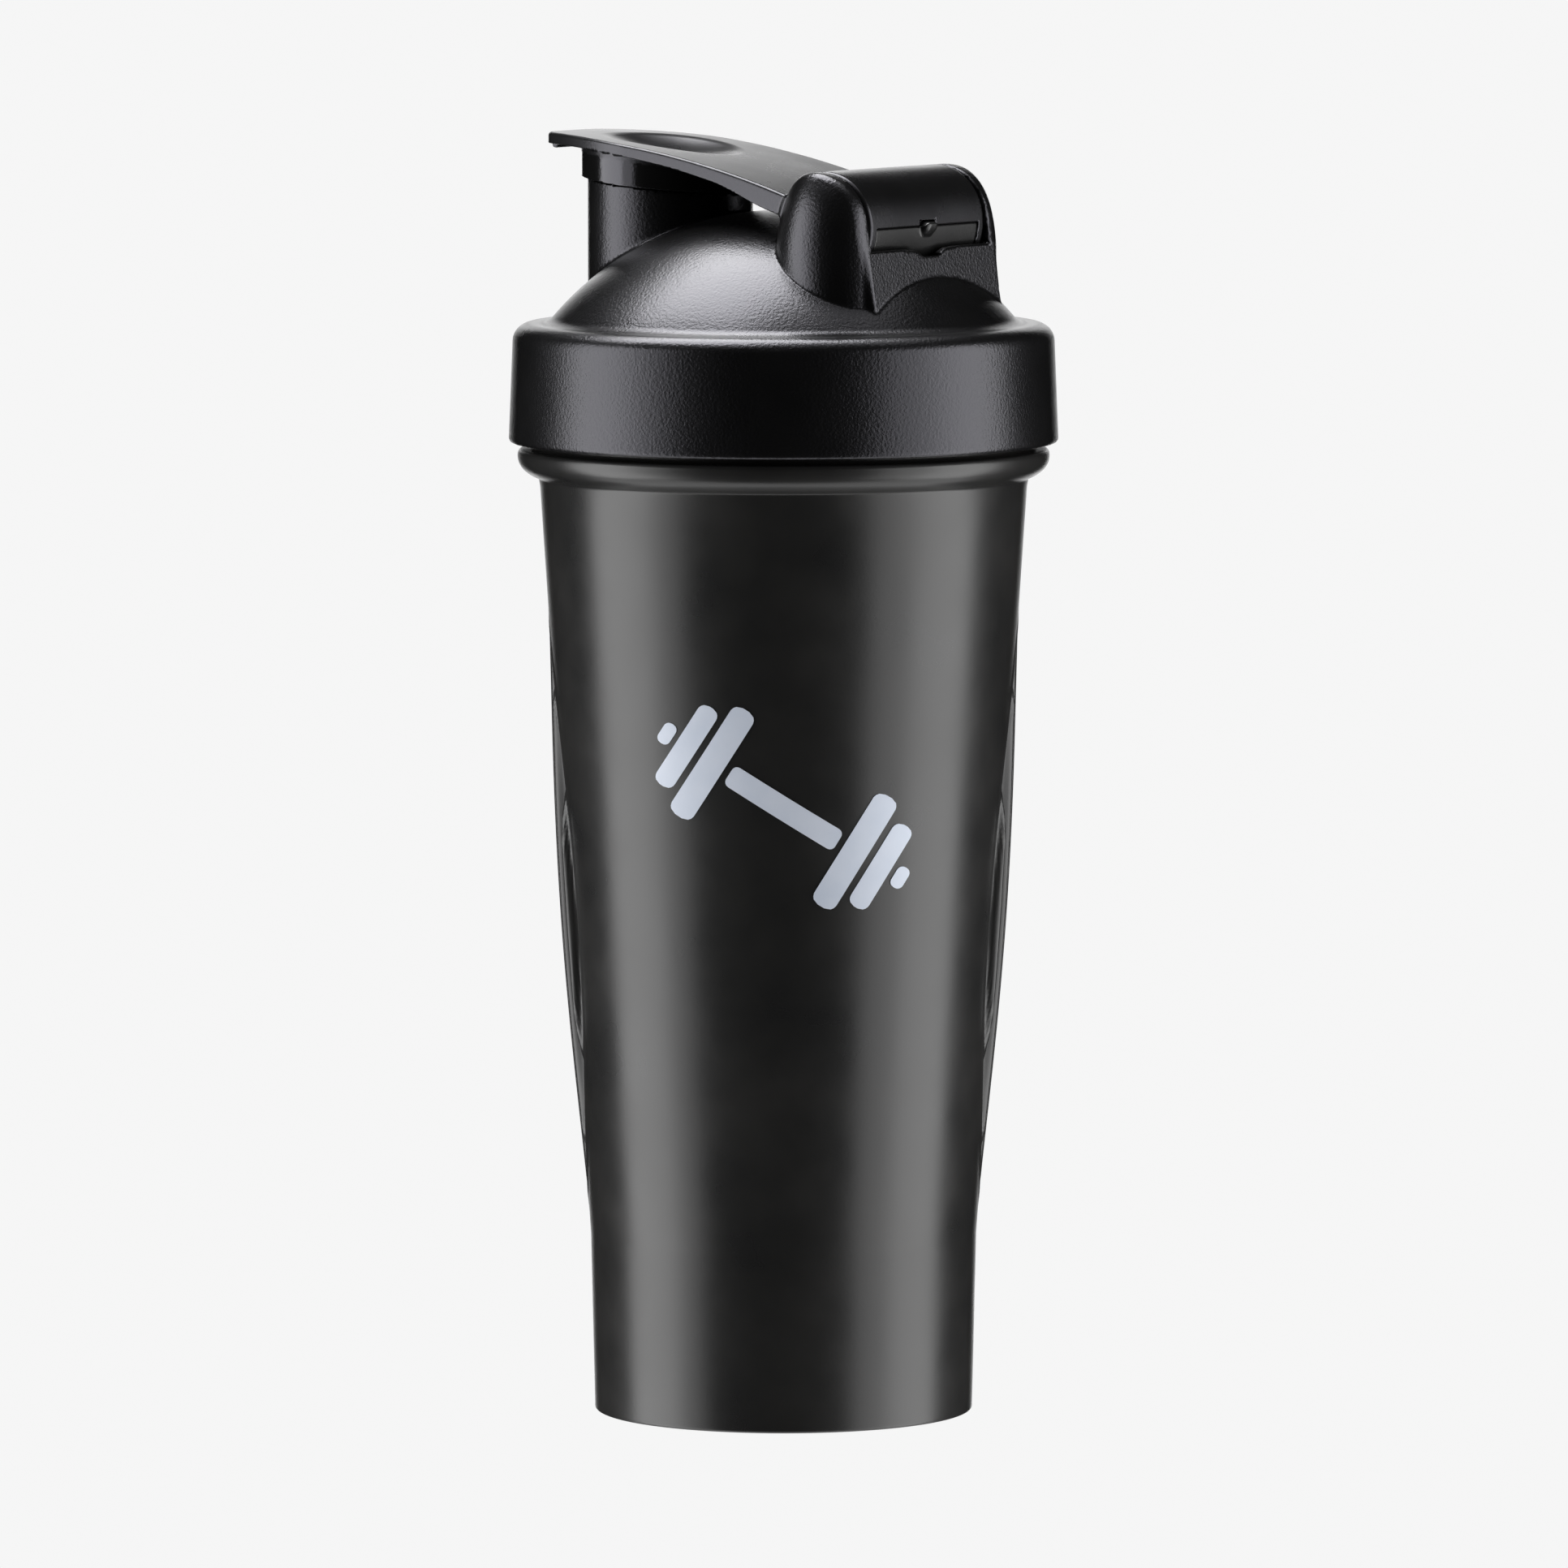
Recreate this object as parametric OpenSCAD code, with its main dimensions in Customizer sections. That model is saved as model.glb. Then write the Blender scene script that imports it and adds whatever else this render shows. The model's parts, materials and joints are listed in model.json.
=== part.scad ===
// Protein shaker bottle: a tapered cup, a screw lid with a domed top and a drinking spout,
// a flip cap that swings on a hinge barrel, and a loose wire whisk ball.
// Millimetres, +Z up. The origin is the centre of the foot. The print on the cup faces -Y.
// The lid, the cap and what belongs to them are drawn with the spout towards +X, and then
// turned together to lid_angle.

/* [Cup] */
// Radius of the cup at the foot
foot_r = 32.7; // [32.3:0.1:33]
// Radius at the top of the steep band above the foot
band_r = 33.4; // [33.1:0.1:33.8]
// Height of the steep band
band_z = 30.6; // [26:0.2:34]
// Radius of the cup under the bead
shoulder_r = 42.0; // [41.6:0.1:42.2]
// Height of the underside of the bead
shoulder_z = 160.3; // [159:0.1:161]
// Wall thickness of the cup
cup_wall = 2.0; // [1.6:0.1:2.4]
// Height of the cup's rim
rim_z = 183.5; // [182.5:0.1:183.5]
// Radius of the bead's section
bead_section_r = 3.3; // [3:0.1:3.4]

/* [Grips] */
// Height of the middle of each grip
grip_z = 87; // [82:1:92]
// Half the height of each grip
grip_half = 53; // [46:1:54]
// Half the width of each grip
grip_half_w = 11; // [9:0.5:12]
// How far the middle rib stands proud of the wall
grip_rise = 1.5; // [0.8:0.1:1.8]
// How deep the grip's ground lies below the wall
grip_depth = 0.8; // [0.4:0.1:1]
// Angle between two ribs
rib_step = 7; // [6:0.5:8]
// Width of a rib
rib_w = 1.8; // [1.2:0.1:2.2]

/* [Print] */
// Height of the middle of the print
print_z = 108; // [95:1:115]
// Length of the printed dumbbell
print_length = 52; // [40:1:54]
// Tilt of the printed dumbbell
print_tilt = -32; // [-60:1:60]

/* [Thread] */
// Rise of the thread in one turn
thread_pitch = 6; // [5.5:0.1:6.5]
// Radius of the neck between the threads
neck_r = 43.2; // [43:0.1:43.3]
// Turns of thread on the neck and in the lid
thread_turns = 1.25; // [0.8:0.05:1.3]

/* [Lid] */
// Direction of the spout, anticlockwise from +X
lid_angle = 145; // [0:1:359]
// Outer radius of the collar
collar_r = 47.4; // [47.2:0.1:48]
// Radius of the domed top
dome_r = 52.2; // [51.8:0.1:52.4]
// Height of the top of the dome
dome_top_z = 207.8; // [207.4:0.1:208]
// Wall thickness of the lid
lid_wall = 2.0; // [1.8:0.1:2.2]
// Distance from the bottle's axis to the spout's axis
spout_x = 23.9; // [23.5:0.1:24.2]
// Outer radius of the spout
spout_r = 14.3; // [14.2:0.1:14.6]
// Radius of the drinking hole
spout_bore_r = 11.5; // [11.2:0.1:11.6]

/* [Hinge] */
// Distance from the bottle's axis to the hinge axis
hinge_x = 20.5; // [20.2:0.1:20.8]
// Height of the hinge axis
hinge_z = 206; // [205.8:0.1:206.2]
// Radius of the hinge barrel
barrel_r = 9.6; // [9.4:0.1:9.7]
// Half the length of the hinge barrel
barrel_half = 17.3; // [17:0.1:17.4]
// Radius of each ear, seen from above
ear_r = 10.9; // [10.7:0.1:11.1]
// Radius of the hinge pin
pin_r = 2; // [1.5:0.1:2.5]

/* [Flip cap] */
// Distance from the bottle's axis to the tip of the arm
tip_x = 45.8; // [44:0.2:47]
// Height of the arm's top at its tip
tip_z = 220.4; // [220.2:0.1:221]
// Radius of the arm's arched top
arm_arch_r = 190; // [180:5:200]
// Thickness of the arm
arm_t = 1.8; // [1.6:0.1:2]
// How far the rails along the arm's edges hang below it at the hinge end
rail_drop = 1.6; // [1:0.1:2]
// Outer radius of the skirt round the spout
skirt_r = 15.4; // [15.3:0.1:15.8]

/* [Whisk ball] */
// Outer diameter of the wire ball
ball_d = 46; // [40:1:48]
// Thickness of the wire
wire_d = 2; // [1.6:0.1:2.4]
// Turns of wire from pole to pole
ball_turns = 5.5; // [5:0.5:8]

/* [Hidden] */
$fn = 96;
far = 100;

// Cup
cup_slope = (shoulder_r - band_r) / (shoulder_z - band_z);
foot_recess = 1.4;
foot_corner = 0.4;
foot_rim_w = 3.2;
floor_z = 3.8;
floor_corner = 4;
neck_wall = 2.8;
rim_corner = 0.6;
bead_z = shoulder_z + 5.3;
bead_r = shoulder_r + 0.55;
bead_top_z = shoulder_z + 6.5;
bead_turn = -47;
bead_low_r = 6;

// Thread: the crest stands thread_h out of the wall, and the lid's thread lies below the
// neck's thread by its own width and a little play
thread_h = 1.2;
thread_root_w = 2.6;
thread_crest_w = 1.2;
thread_start_z = 172;
collar_bore_r = neck_r + thread_h + 0.6;
thread_steps_per_turn = 60;
thread_drop = (thread_root_w + thread_crest_w) / 2 + 0.2;

// Lid
collar_z = 167.9;
valley_z = 188.1;
collar_top_z = 188.4;
shoulder_arc = 3;
shoulder_c = collar_r - shoulder_arc - 0.7;
valley_r = shoulder_c - 2.4;
ceiling_t = 2;
collar_edge_r = 0.8;
bore_chamfer = 0.4;
dome_z = dome_top_z - dome_r;
dome_foot_r = 44;
plug_skirt_r = neck_r - neck_wall - 0.5;
plug_skirt_t = 1.5;
plug_skirt_z = 181.5;
ceiling_z = 186.1;
ceiling_hole_r = plug_skirt_r - plug_skirt_t;

// Spout: its rim and the skirt's edge lie in planes that slope with the arm
cap_slope = atan(0.09);
spout_foot_z = ceiling_z + 1.5;
spout_rim_z = 214.6;
spout_step = 1;
skirt_edge_z = 211.9;
skirt_wall = 1.2;
skirt_gap = 0.35;
plug_play = 1.1;
plug_taper = 0.8;
plug_end_z = 210.4;
plug_sink = 0.5;
seal_t = 1;
seal_gap = 0.05;
seal_play = 0.02;
seal_side_play = 0.2;
land_z = spout_rim_z + seal_gap + seal_t + seal_play;

// Hinge
pocket_r = barrel_r + 0.35;
slot_half = barrel_half + 0.5;
rear_lean = 9.1;
rear_x = -30.2;
ear_crown_r = 9.8;
ear_x = -hinge_x - 1.1;
ear_y = 14;
ear_waist_z = 198;
ear_taper_h = 22;
ear_taper_end = 60;
web_half = 19.4;
web_x = -hinge_x - 15;
web_top_z = 202.3;
trough_wall = 2.4;
trough_end = 2;
trough_sink = 0.5;
end_disc_t = 2;
barrel_wall = 2;
nub_half = 2.1;
nub_rise = 1.3;
nub_r = 2.6;
nub_top = 0.6;
nub_play = 0.3;
nub_way_r = barrel_r + nub_rise + nub_play;
web_dip = 1.1;
web_dip_r = 25;
clip_inset = 0.15;
clip_play = 0.1;
split_gap = 0.06;
pin_play = 0.05;
socket_play = 0.02;
socket_depth = 3.6;
pin_end_play = 0.1;

// Arm: it is widest at the spout and narrows to the tip
arm_wide_half = 16;
arm_tip_half = 7.5;
arm_wide_x = 22;
arm_flare = 0.03;
arm_corner = 3;
arm_thick_x = -1;
arm_thick = 3.6;
lip_r = 0.8;
lip_inset = 2.6;
root_x = -hinge_x + 7;
neck_x = 5;
root_rise = 1;
root_clear = 0.5;
rail_w = 1.6;
rail_power = 3;

// Finger dimple over the spout: a slice of a large ball, squeezed across the arm
dimple_depth = 2.4;
dimple_half_w = 9;
dimple_half_l = 12.5;
dimple_x = spout_x - 0.5;
dimple_r = (dimple_half_l * dimple_half_l + dimple_depth * dimple_depth) / (2 * dimple_depth);
dimple_lean = asin((tip_x - dimple_x) / arm_arch_r);

// Whisk ball, resting near the front left of the floor
ball_x = -3;
ball_y = -4;
ball_z = floor_z + ball_d / 2 + 0.15;
ball_turned = -60;

function wall_r(z) = band_r + (z - band_z) * cup_slope;
function arc(x, z, r, a0, a1, n) =
    [for (i = [0:n]) let (a = a0 + (a1 - a0) * i / n) [x + r * cos(a), z + r * sin(a)]];

// A tube of radius w swept along the points p, for the wire of the whisk ball
function unit(v) = v / norm(v);
function tangent(p, i) = unit(p[min(i + 1, len(p) - 1)] - p[max(i - 1, 0)]);
module sweep(p, centre, w, sides) {
    rings = [for (i = [0:len(p) - 1]) let (
        t = tangent(p, i),
        out = unit(p[i] - centre),
        u = unit(out - t * (out * t)),
        v = cross(t, u))
        for (k = [0:sides - 1]) p[i] + w * (cos(360 * k / sides) * u + sin(360 * k / sides) * v)];
    last = (len(p) - 1) * sides;
    sides_faces = [for (i = [0:len(p) - 2], k = [0:sides - 1]) let (
        a = i * sides + k, b = i * sides + (k + 1) % sides)
        each [[a, b + sides, b], [a, a + sides, b + sides]]];
    caps = [[for (k = [0:sides - 1]) k], [for (k = [sides - 1:-1:0]) last + k]];
    polyhedron(rings, concat(sides_faces, caps), convexity = 10);
}

// One helical thread, from radius r0 (its root) to r1 (its crest), fading in at both ends
module thread(r0, r1, z0) {
    steps = round(thread_turns * thread_steps_per_turn);
    fade = 6;
    profile = [for (i = [0:steps]) let (
        a = 360 * thread_turns * i / steps,
        z = z0 + thread_pitch * a / 360,
        grow = min(1, i / fade, (steps - i) / fade),
        crest = r0 + (r1 - r0) * max(grow, 0.05),
        sink = r0 - (r1 - r0) * 0.4,
        c = cos(a), s = sin(a))
        each [[sink * c, sink * s, z - thread_root_w / 2],
              [crest * c, crest * s, z - thread_crest_w / 2],
              [crest * c, crest * s, z + thread_crest_w / 2],
              [sink * c, sink * s, z + thread_root_w / 2]]];
    inward = r1 < r0;
    quads = [for (i = [0:steps - 1], k = [0:3]) let (
        a = i * 4 + k, b = i * 4 + (k + 1) % 4)
        each inward ? [[a, b + 4, b], [a, a + 4, b + 4]] : [[a, b, b + 4], [a, b + 4, a + 4]]];
    last = steps * 4;
    ends = inward ? [[0, 1, 2, 3], [last + 3, last + 2, last + 1, last]]
                  : [[3, 2, 1, 0], [last, last + 1, last + 2, last + 3]];
    polyhedron(profile, concat(quads, ends), convexity = 10);
}

// ---------------------------------------------------------------- cup

module cup_shell() {
    rotate_extrude()
        polygon(concat(
            [[0, foot_recess], [foot_r - foot_rim_w, foot_recess],
             [foot_r - foot_rim_w - foot_corner, 0]],
            arc(foot_r - foot_corner, foot_corner, foot_corner, -90, 0, 3),
            [[band_r, band_z], [shoulder_r, shoulder_z], [neck_r, bead_z],
             [neck_r, rim_z - rim_corner], [neck_r - rim_corner, rim_z],
             [neck_r - neck_wall, rim_z], [neck_r - neck_wall, bead_z],
             [shoulder_r - cup_wall, shoulder_z - cup_wall], [band_r - cup_wall, band_z]],
            arc(foot_r - cup_wall - floor_corner, floor_z + floor_corner, floor_corner, 0, -90, 5),
            [[0, floor_z]]));
}

// The bead is flat on top, where the collar comes down to it, and round below, in an arc
// that grows flatter from the angle bead_turn down to the wall
module bead() {
    inside = neck_r - neck_wall / 2;
    top_angle = asin((bead_top_z - bead_z) / bead_section_r);
    low_x = bead_r - (bead_low_r - bead_section_r) * cos(bead_turn);
    low_z = bead_z - (bead_low_r - bead_section_r) * sin(bead_turn);
    foot_angle = -acos((shoulder_r - low_x) / bead_low_r);
    rotate_extrude()
        polygon(concat(
            [[shoulder_r - cup_wall / 2, shoulder_z]],
            arc(low_x, low_z, bead_low_r, foot_angle, bead_turn, 4),
            arc(bead_r, bead_z, bead_section_r, bead_turn, top_angle, 6),
            [[inside, bead_top_z], [inside, bead_z]]));
}

// The leaf-shaped outline of a grip, pushed through the wall on the +X side
module grip_outline() {
    arc_r = (grip_half * grip_half + grip_half_w * grip_half_w) / (2 * grip_half_w);
    translate([0, 0, grip_z]) rotate([90, 0, 90]) linear_extrude(60)
        intersection() {
            translate([arc_r - grip_half_w, 0]) circle(r = arc_r, $fn = 360);
            translate([grip_half_w - arc_r, 0]) circle(r = arc_r, $fn = 360);
        }
}

// The wall between the grip's ground and a skin that stands `out` proud of the cup
module grip_cone(out) {
    low = grip_z - grip_half - 2;
    high = grip_z + grip_half + 2;
    translate([0, 0, low])
        cylinder(r1 = wall_r(low) + out, r2 = wall_r(high) + out, h = high - low);
}

module rib() {
    steps = 12;
    reach = 0.92;
    inner = -grip_depth - 0.5;
    crest = [for (i = [0:steps]) let (t = reach * (2 * i / steps - 1), z = grip_z + grip_half * t)
        [wall_r(z) + grip_rise * pow(1 - t * t, 1.5), z]];
    foot = [for (t = [reach, -reach]) let (z = grip_z + grip_half * t) [wall_r(z) + inner, z]];
    rotate([90, 0, 0]) translate([0, 0, -rib_w / 2]) linear_extrude(rib_w)
        polygon(concat(crest, foot));
}

module grip_recess() {
    difference() {
        grip_outline();
        grip_cone(-grip_depth);
    }
}

module grip_ribs() {
    intersection() {
        grip_outline();
        union() for (k = [-2:2]) rotate([0, 0, k * rib_step]) rib();
    }
}

module cup() {
    color([0.12, 0.12, 0.12]) {
        difference() {
            union() {
                cup_shell();
                bead();
            }
            for (side = [0, 180]) rotate([0, 0, side]) grip_recess();
        }
        for (side = [0, 180]) rotate([0, 0, side]) grip_ribs();
        thread(neck_r, neck_r + thread_h, thread_start_z);
    }
}

// ---------------------------------------------------------------- print

// A plain dumbbell, lying along X
module dumbbell() {
    // Each plate's distance from the middle, height and width, as shares of the length
    plates = [[0.28, 0.40, 0.10], [0.39, 0.30, 0.08]];
    bar = [0.6, 0.07];
    knob = [0.46, 0.04];
    square(bar * print_length, center = true);
    for (side = [-1, 1]) {
        for (p = plates) translate([side * p[0] * print_length, 0])
            square([p[2] * print_length, p[1] * print_length], center = true);
        translate([side * knob[0] * print_length, 0]) circle(r = knob[1] * print_length);
    }
}

module front_print() {
    thickness = 0.12;
    gap = 0.02;
    low = print_z - print_length * 0.7;
    high = print_z + print_length * 0.7;
    color([0.82, 0.85, 0.9]) intersection() {
        translate([0, 0, print_z]) rotate([90, 0, 0]) linear_extrude(60)
            rotate(print_tilt) dumbbell();
        difference() {
            translate([0, 0, low]) cylinder(r1 = wall_r(low) + gap + thickness,
                r2 = wall_r(high) + gap + thickness, h = high - low, $fn = 180);
            translate([0, 0, low - 1]) cylinder(r1 = wall_r(low - 1) + gap,
                r2 = wall_r(high + 1) + gap, h = high - low + 2, $fn = 180);
        }
    }
}

// ---------------------------------------------------------------- lid

module lid_outer() {
    intersection() {
        translate([0, 0, dome_z]) sphere(r = dome_r);
        translate([0, 0, ceiling_z]) cylinder(r = dome_foot_r, h = far);
    }
    rotate_extrude()
        polygon(concat(
            [[0, ceiling_z - ceiling_t], [0, valley_z], [valley_r, valley_z]],
            arc(shoulder_c, collar_top_z - shoulder_arc, shoulder_arc, 90, 5, 6),
            [[collar_r, collar_z + collar_edge_r]],
            arc(collar_r - collar_edge_r, collar_z + collar_edge_r, collar_edge_r, -20, -90, 3),
            [[collar_bore_r + bore_chamfer, collar_z], [collar_bore_r, collar_z + bore_chamfer],
             [collar_bore_r, ceiling_z - ceiling_t]]));
}

module lid_inner() {
    intersection() {
        translate([0, 0, dome_z]) sphere(r = dome_r - lid_wall);
        translate([0, 0, ceiling_z]) cylinder(r = ceiling_hole_r, h = far);
    }
    translate([0, 0, collar_z - 1]) cylinder(r = collar_bore_r, h = ceiling_z - collar_z + 1);
}

module plug_skirt() {
    difference() {
        translate([0, 0, plug_skirt_z]) cylinder(r = plug_skirt_r, h = ceiling_z - plug_skirt_z + 1);
        translate([0, 0, plug_skirt_z - 1]) cylinder(r = ceiling_hole_r, h = far);
    }
}

// An upright post that narrows towards its top, which is crowned about the hinge axis
module ear() {
    intersection() {
        translate([ear_x, ear_y, 0]) rotate_extrude()
            polygon(concat(
                [[0, ceiling_z], [ear_r, ceiling_z]],
                [for (a = [0:10:ear_taper_end]) [ear_r * cos(a), ear_waist_z + ear_taper_h * sin(a)]],
                [[0, ear_waist_z + ear_taper_h * sin(ear_taper_end)]]));
        union() {
            along_hinge(ear_crown_r, far);
            translate([-far, -far, 0]) cube([2 * far, 2 * far, hinge_z]);
        }
    }
}

module behind_hinge() {
    translate([rear_x, 0, hinge_z]) rotate([0, rear_lean, 0])
        translate([-far, -far, -far]) cube([far, far * 2, far * 2]);
}

// The wall between the ears, whose top dips in the middle so that the nub can pass
module hinge_web() {
    translate([web_x, 0, 0]) rotate([90, 0, 90]) linear_extrude(-hinge_x - web_x) difference() {
        translate([-web_half, ceiling_z]) square([2 * web_half, web_top_z + 1 - ceiling_z]);
        translate([0, web_top_z + web_dip_r - web_dip]) circle(r = web_dip_r, $fn = 180);
    }
}

module hinge_housing() {
    difference() {
        union() {
            for (side = [0, 1]) mirror([0, side, 0]) ear();
            hinge_web();
        }
        behind_hinge();
        translate([-far, -slot_half, web_top_z]) cube([2 * far, 2 * slot_half, far]);
    }
}

module along_hinge(r, half) {
    translate([-hinge_x, 0, hinge_z]) rotate([90, 0, 0]) translate([0, 0, -half])
        cylinder(r = r, h = 2 * half);
}

// The closed trough that the barrel sinks into, hanging inside the dome
module trough() {
    intersection() {
        along_hinge(pocket_r + trough_wall, slot_half + trough_end);
        translate([0, 0, dome_z]) sphere(r = dome_r - trough_sink);
    }
}

module pocket() {
    along_hinge(pocket_r, slot_half);
    along_hinge(nub_way_r, nub_half + 2 * nub_play);
    along_hinge(pin_r + socket_play, slot_half + socket_depth);
}

// Everything above a plane through (spout_x, z) that slopes with the cap
module above(z) {
    translate([spout_x, 0, z]) rotate([0, -cap_slope, 0])
        translate([-far, -far, 0]) cube([far * 2, far * 2, far]);
}

module spout_column(r) {
    translate([spout_x, 0, dome_z]) cylinder(r = r, h = far);
}

module spout() {
    difference() {
        intersection() {
            spout_column(spout_r);
            translate([0, 0, spout_foot_z]) cylinder(r = far, h = far);
        }
        above(spout_rim_z);
        difference() {
            above(skirt_edge_z - skirt_gap);
            spout_column(spout_r - spout_step);
        }
    }
}

module lid() {
    color([0.1, 0.1, 0.1]) rotate([0, 0, lid_angle]) {
        difference() {
            union() {
                difference() {
                    union() {
                        lid_outer();
                        hinge_housing();
                        spout();
                    }
                    lid_inner();
                }
                trough();
            }
            pocket();
            translate([spout_x, 0, dome_z]) cylinder(r = spout_bore_r, h = far);
        }
        plug_skirt();
    }
    color([0.1, 0.1, 0.1])
        thread(collar_bore_r, collar_bore_r - thread_h, thread_start_z - thread_drop);
}

// A flat ring between the cup's rim and the lid's ceiling
module lid_seal_ring() {
    ring_h = ceiling_z - rim_z - 3 * seal_gap;
    color([0.3, 0.3, 0.32]) translate([0, 0, rim_z + seal_gap]) difference() {
        cylinder(r = neck_r - seal_side_play, h = ring_h);
        translate([0, 0, -1]) cylinder(r = neck_r - neck_wall + seal_side_play, h = ring_h + 2);
    }
}

// ---------------------------------------------------------------- flip cap

function arm_top(x) = tip_z - arm_arch_r + sqrt(arm_arch_r * arm_arch_r - (tip_x - x) * (tip_x - x));
function arm_half(x) = x > arm_wide_x
    ? arm_wide_half - (arm_wide_half - arm_tip_half) * pow((x - arm_wide_x) / (tip_x - arm_wide_x), 1.6)
    : arm_wide_half + (arm_wide_x - x) * arm_flare;

// Side view of the arm: arched on top, deep at the hinge, and from there to the tip one
// thickness t with an edge that hangs lower by drop at the hinge end
module arm_side(t, drop) {
    steps = 14;
    top = [for (i = [0:steps]) let (x = tip_x - (tip_x - root_x) * i / steps) [x, arm_top(x)]];
    under = [for (i = [0:steps]) let (x = neck_x + (tip_x - neck_x) * i / steps)
        [x, arm_top(x) - t - drop * pow(1 - i / steps, rail_power)]];
    rotate([90, 0, 0]) translate([0, 0, -far / 2]) linear_extrude(far)
        polygon(concat(top, [[root_x, hinge_z + root_rise],
            [-hinge_x + barrel_r + root_clear, hinge_z + 2 * root_rise],
            [arm_thick_x, arm_top(arm_thick_x) - arm_thick]], under));
}

// Plan view of the arm, with rounded corners at the tip, and drawn smaller by inset
module arm_plan(inset) {
    steps = 10;
    side = [for (i = [0:steps]) let (x = root_x + (tip_x - arm_corner - root_x) * i / steps)
        [x, arm_half(x)]];
    half = concat(side, arc(tip_x - arm_corner, arm_tip_half - arm_corner, arm_corner, 80, 10, 3));
    mirrored = [for (i = [len(half) - 1:-1:0]) [half[i][0], -half[i][1]]];
    translate([0, 0, dome_z]) linear_extrude(far) offset(delta = -inset)
        polygon(concat(half, mirrored));
}

module arm() {
    intersection() {
        union() {
            arm_side(arm_t, 0);
            difference() {
                arm_side(arm_t, rail_drop);
                arm_plan(rail_w);
            }
        }
        arm_plan(0);
    }
    lip_half = arm_tip_half - lip_inset;
    translate([tip_x - lip_r, 0, tip_z - arm_t]) rotate([90, 0, 0]) translate([0, 0, -lip_half])
        cylinder(r = lip_r, h = 2 * lip_half);
}

// The part of a body that lies below the arm's top
module under_arm_top() {
    intersection() {
        children();
        arm_side(far / 2, 0);
    }
}

module cap_over_spout() {
    plug_r = spout_bore_r - plug_play;
    under_arm_top() difference() {
        intersection() {
            spout_column(skirt_r);
            above(skirt_edge_z);
        }
        difference() {
            spout_column(skirt_r - skirt_wall);
            above(land_z);
        }
    }
    translate([spout_x, 0, plug_end_z])
        cylinder(r1 = plug_r - plug_taper, r2 = plug_r, h = land_z + plug_sink - plug_end_z);
}

module finger_dimple() {
    translate([dimple_x, 0, arm_top(dimple_x)]) rotate([0, -dimple_lean, 0])
        translate([0, 0, dimple_r - dimple_depth])
            scale([1, dimple_half_w / dimple_half_l, 1]) sphere(r = dimple_r, $fn = 180);
}

module barrel_shell() {
    difference() {
        along_hinge(barrel_r, barrel_half);
        along_hinge(barrel_r - barrel_wall, barrel_half - end_disc_t);
        translate([-hinge_x - far / 2, -barrel_half + end_disc_t, hinge_z - far])
            cube([far, 2 * (barrel_half - end_disc_t), far]);
        translate([-hinge_x - far, -nub_half - nub_play, hinge_z - 1])
            cube([far - barrel_r + 1, 2 * (nub_half + nub_play), 1 + nub_top + nub_play]);
    }
}

module flip_cap() {
    color([0.1, 0.1, 0.1]) rotate([0, 0, lid_angle]) difference() {
        union() {
            difference() {
                arm();
                along_hinge(barrel_r - barrel_wall / 2, barrel_half - end_disc_t);
                finger_dimple();
            }
            difference() {
                cap_over_spout();
                finger_dimple();
            }
            barrel_shell();
        }
        along_hinge(pin_r + pin_play, barrel_half + 1);
    }
}

module spout_seal() {
    color([0.3, 0.3, 0.32]) rotate([0, 0, lid_angle]) difference() {
        intersection() {
            spout_column(skirt_r - skirt_wall - seal_side_play);
            above(spout_rim_z + seal_gap);
        }
        above(land_z - seal_play);
        spout_column(spout_bore_r - plug_play + seal_side_play);
    }
}

module hinge_clip() {
    clip_half = barrel_half - end_disc_t - clip_play;
    color([0.1, 0.1, 0.1]) rotate([0, 0, lid_angle]) {
        difference() {
            along_hinge(barrel_r - clip_inset, clip_half);
            along_hinge(barrel_r - barrel_wall, clip_half + 1);
            translate([-hinge_x - far / 2, -far / 2, hinge_z - split_gap]) cube([far, far, far]);
        }
        nub();
    }
}

// A boss with a flat top just above the split in the barrel, rounded off below
module nub() {
    intersection() {
        difference() {
            translate([-hinge_x - barrel_r - nub_rise + nub_r, 0, hinge_z + nub_top])
                rotate([90, 0, 0]) cylinder(r = nub_r, h = 2 * nub_half, center = true);
            along_hinge(barrel_r - barrel_wall / 2, far);
        }
        translate([-far, -far, hinge_z + nub_top - far]) cube([2 * far, 2 * far, far]);
    }
}

module hinge_pin() {
    color("silver") rotate([0, 0, lid_angle]) along_hinge(pin_r, slot_half + socket_depth - pin_end_play);
}

// ---------------------------------------------------------------- whisk ball

// One wire wound from the bottom pole to the top pole of a ball
module whisk_ball() {
    wind_r = (ball_d - wire_d) / 2;
    segments = 20;
    count = ball_turns * segments;
    start = 14;
    path = [for (i = [0:count]) let (
        polar = start + (180 - 2 * start) * i / count,
        turn = ball_turned + 360 * i / segments)
        [wind_r * sin(polar) * cos(turn), wind_r * sin(polar) * sin(turn), -wind_r * cos(polar)]];
    color("silver") translate([ball_x, ball_y, ball_z]) sweep(path, [0, 0, 0], wire_d / 2, 7);
}

cup();
front_print();
lid();
lid_seal_ring();
flip_cap();
spout_seal();
hinge_clip();
hinge_pin();
whisk_ball();
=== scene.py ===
import json
import math

import bpy
import numpy as np
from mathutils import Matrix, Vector
from mathutils.bvhtree import BVHTree


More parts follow.
